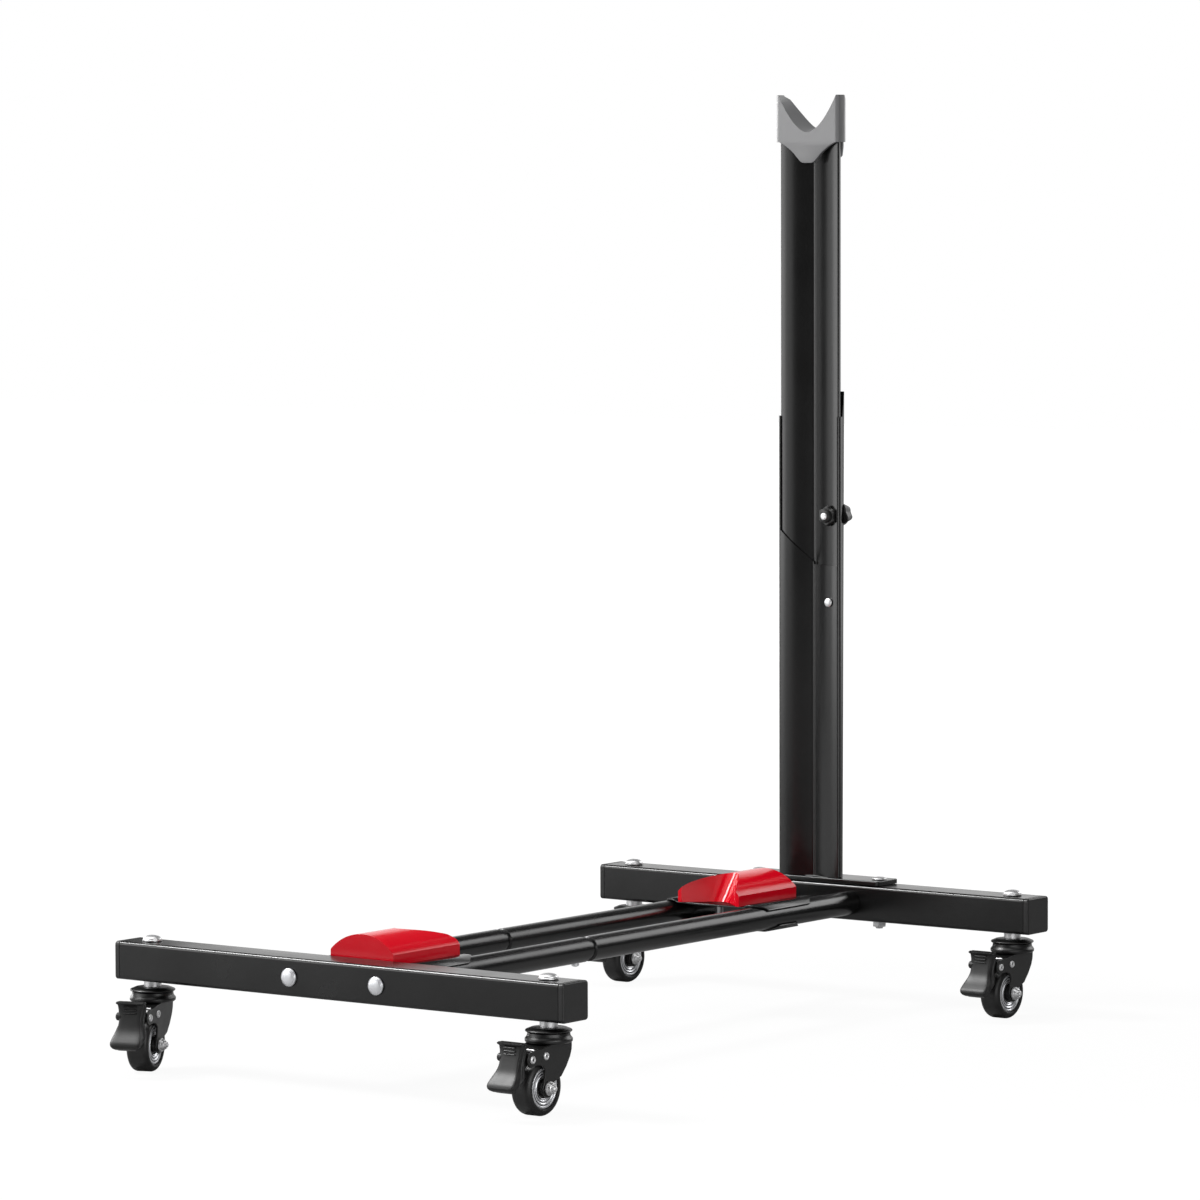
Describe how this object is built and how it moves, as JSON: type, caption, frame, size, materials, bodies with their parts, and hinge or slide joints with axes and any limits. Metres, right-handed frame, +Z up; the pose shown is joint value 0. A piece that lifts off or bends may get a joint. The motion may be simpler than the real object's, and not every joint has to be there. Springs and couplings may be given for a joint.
{
  "type": "rolling bicycle wheel stand",
  "caption": "Freestanding bicycle rack: square crossbars on braked casters, round telescoping tubes with sliding notched wheel chocks, and a telescoping post with a forked wheel cradle.",
  "frame": {"origin": "centre of the outer box at floor level", "axes": "+Z up, +X along the crossbars to the right, +Y from the front crossbar to the crossbar that carries the post"},
  "size_m": [0.5566, 0.9132, 0.966],
  "materials": {
    "black_powder_coat": "satin powder coat",
    "zinc_plated_steel": "bright zinc plating",
    "red_plastic": "glossy moulded plastic",
    "grey_plastic": "satin moulded plastic",
    "black_plastic": "satin moulded plastic",
    "black_polyurethane": "smooth cast polyurethane"
  },
  "bodies": {
    "frame": {"front_crossbar": "black_powder_coat", "front_end_cap_left": "black_plastic", "front_tube_left": "black_powder_coat", "front_tube_bolt_left": "zinc_plated_steel", "front_end_cap_right": "black_plastic", "front_tube_right": "black_powder_coat", "front_tube_bolt_right": "zinc_plated_steel", "rear_crossbar": "black_powder_coat", "rear_end_cap_left": "black_plastic", "rear_tube_left": "black_powder_coat", "rear_tube_bolt_left": "zinc_plated_steel", "rear_end_cap_right": "black_plastic", "rear_tube_right": "black_powder_coat", "rear_tube_bolt_right": "zinc_plated_steel", "post_base_bolt_left": "zinc_plated_steel", "post_base_bolt_right": "zinc_plated_steel", "post_base_plate": "black_powder_coat", "lower_post": "black_powder_coat", "post_stop_bolt": "zinc_plated_steel", "caster_stem_front_left": "zinc_plated_steel", "caster_stem_front_right": "zinc_plated_steel", "caster_stem_rear_left": "zinc_plated_steel", "caster_stem_rear_right": "zinc_plated_steel"},
    "upper_post": {"upper_post": "black_powder_coat", "wheel_cradle": "grey_plastic", "clamp_bolt": "zinc_plated_steel", "clamp_star_nut": "black_plastic"},
    "clamp_knob": {"clamp_knob": "black_plastic"},
    "front_chock": {"front_chock": "red_plastic", "front_saddle_plate": "black_powder_coat", "front_clamp_plate": "black_powder_coat", "front_clamp_bolt_left": "zinc_plated_steel", "front_clamp_bolt_right": "zinc_plated_steel"},
    "rear_chock": {"rear_chock": "red_plastic", "rear_saddle_plate": "black_powder_coat", "rear_clamp_plate": "black_powder_coat", "rear_clamp_bolt_left": "zinc_plated_steel", "rear_clamp_bolt_right": "zinc_plated_steel"},
    "snap_button_left": {"snap_button_left": "zinc_plated_steel"},
    "snap_button_right": {"snap_button_right": "zinc_plated_steel"},
    "caster_front_left": {"caster_fork_front_left": "black_powder_coat", "caster_axle_front_left": "zinc_plated_steel"},
    "wheel_front_left": {"caster_tyre_front_left": "black_polyurethane", "caster_hub_front_left": "zinc_plated_steel"},
    "brake_front_left": {"caster_brake_front_left": "black_plastic"},
    "caster_front_right": {"caster_fork_front_right": "black_powder_coat", "caster_axle_front_right": "zinc_plated_steel"},
    "wheel_front_right": {"caster_tyre_front_right": "black_polyurethane", "caster_hub_front_right": "zinc_plated_steel"},
    "brake_front_right": {"caster_brake_front_right": "black_plastic"},
    "caster_rear_left": {"caster_fork_rear_left": "black_powder_coat", "caster_axle_rear_left": "zinc_plated_steel"},
    "wheel_rear_left": {"caster_tyre_rear_left": "black_polyurethane", "caster_hub_rear_left": "zinc_plated_steel"},
    "brake_rear_left": {"caster_brake_rear_left": "black_plastic"},
    "caster_rear_right": {"caster_fork_rear_right": "black_powder_coat", "caster_axle_rear_right": "zinc_plated_steel"},
    "wheel_rear_right": {"caster_tyre_rear_right": "black_polyurethane", "caster_hub_rear_right": "zinc_plated_steel"},
    "brake_rear_right": {"caster_brake_rear_right": "black_plastic"}
  },
  "joints": [
    {"name": "post_height", "type": "slide", "parent": "frame", "child": "upper_post", "axis": [0, 0, 1], "range_m": [-0.008, 0.088]},
    {"name": "clamp_knob_turn", "type": "hinge", "parent": "upper_post", "child": "clamp_knob", "pos_m": [0.025, 0.42795, 0.5195], "axis": [0, 1, 0], "continuous": true},
    {"name": "front_chock_slide", "type": "slide", "parent": "frame", "child": "front_chock", "axis": [0, 1, 0], "range_m": [0, 0.15]},
    {"name": "rear_chock_slide", "type": "slide", "parent": "frame", "child": "rear_chock", "axis": [0, 1, 0], "range_m": [-0.25, 0.07]},
    {"name": "snap_button_left_press", "type": "slide", "parent": "frame", "child": "snap_button_left", "axis": [0, 0, 1], "range_m": [0, 0.0045], "stiffness_N_per_m": 400, "springref_m": -0.003},
    {"name": "snap_button_right_press", "type": "slide", "parent": "frame", "child": "snap_button_right", "axis": [0, 0, 1], "range_m": [0, 0.0045], "stiffness_N_per_m": 400, "springref_m": -0.003},
    {"name": "swivel_front_left", "type": "hinge", "parent": "frame", "child": "caster_front_left", "pos_m": [-0.246, -0.37665, 0.075], "axis": [0, 0, 1], "continuous": true},
    {"name": "wheel_spin_front_left", "type": "hinge", "parent": "caster_front_left", "child": "wheel_front_left", "pos_m": [-0.23949, -0.39556, 0.02683], "axis": [0.9455, 0.3256, 0], "continuous": true},
    {"name": "brake_front_left_press", "type": "hinge", "parent": "caster_front_left", "child": "brake_front_left", "pos_m": [-0.23135, -0.4192, 0.05683], "axis": [0.9455, 0.3256, 0], "range_deg": [0, 12]},
    {"name": "swivel_front_right", "type": "hinge", "parent": "frame", "child": "caster_front_right", "pos_m": [0.246, -0.37665, 0.075], "axis": [0, 0, 1], "continuous": true},
    {"name": "wheel_spin_front_right", "type": "hinge", "parent": "caster_front_right", "child": "wheel_front_right", "pos_m": [0.246, -0.39665, 0.02683], "axis": [1, 0, 0], "continuous": true},
    {"name": "brake_front_right_press", "type": "hinge", "parent": "caster_front_right", "child": "brake_front_right", "pos_m": [0.246, -0.42165, 0.05683], "axis": [1, 0, 0], "range_deg": [0, 12]},
    {"name": "swivel_rear_left", "type": "hinge", "parent": "frame", "child": "caster_rear_left", "pos_m": [-0.246, 0.43185, 0.075], "axis": [0, 0, 1], "continuous": true},
    {"name": "wheel_spin_rear_left", "type": "hinge", "parent": "caster_rear_left", "child": "wheel_rear_left", "pos_m": [-0.246, 0.41185, 0.02683], "axis": [1, 0, 0], "continuous": true},
    {"name": "brake_rear_left_press", "type": "hinge", "parent": "caster_rear_left", "child": "brake_rear_left", "pos_m": [-0.246, 0.38685, 0.05683], "axis": [1, 0, 0], "range_deg": [0, 12]},
    {"name": "swivel_rear_right", "type": "hinge", "parent": "frame", "child": "caster_rear_right", "pos_m": [0.246, 0.43185, 0.075], "axis": [0, 0, 1], "continuous": true},
    {"name": "wheel_spin_rear_right", "type": "hinge", "parent": "caster_rear_right", "child": "wheel_rear_right", "pos_m": [0.246, 0.41185, 0.02683], "axis": [1, 0, 0], "continuous": true},
    {"name": "brake_rear_right_press", "type": "hinge", "parent": "caster_rear_right", "child": "brake_rear_right", "pos_m": [0.246, 0.38685, 0.05683], "axis": [1, 0, 0], "range_deg": [0, 12]}
  ]
}
